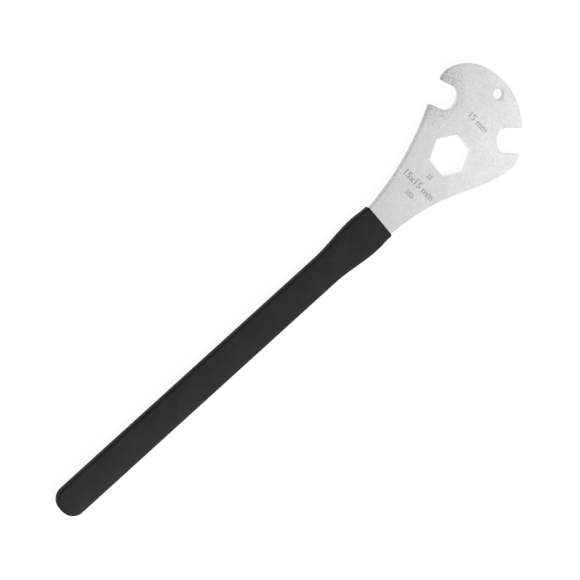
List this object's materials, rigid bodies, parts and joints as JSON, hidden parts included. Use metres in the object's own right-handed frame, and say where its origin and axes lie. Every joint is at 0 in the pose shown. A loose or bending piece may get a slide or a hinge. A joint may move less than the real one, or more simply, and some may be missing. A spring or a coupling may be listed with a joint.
{
  "type": "pedal wrench",
  "caption": "Flat steel pedal wrench with open jaws for pedal spindles, a hexagonal ring opening, a hanging hole and a flared black grip.",
  "frame": {"origin": "centre of the hexagonal opening, halfway through the plate", "axes": "+X along the tool from grip to head, +Y towards the jaw that opens back along the shank, +Z square to the plate"},
  "size_m": [0.3529, 0.0686, 0.0074],
  "materials": {
    "blade": "satin plated steel with a fine grain",
    "grip": "matt black soft vinyl"
  },
  "bodies": {
    "root": {"blade": "blade", "grip": "grip"}
  },
  "joints": []
}
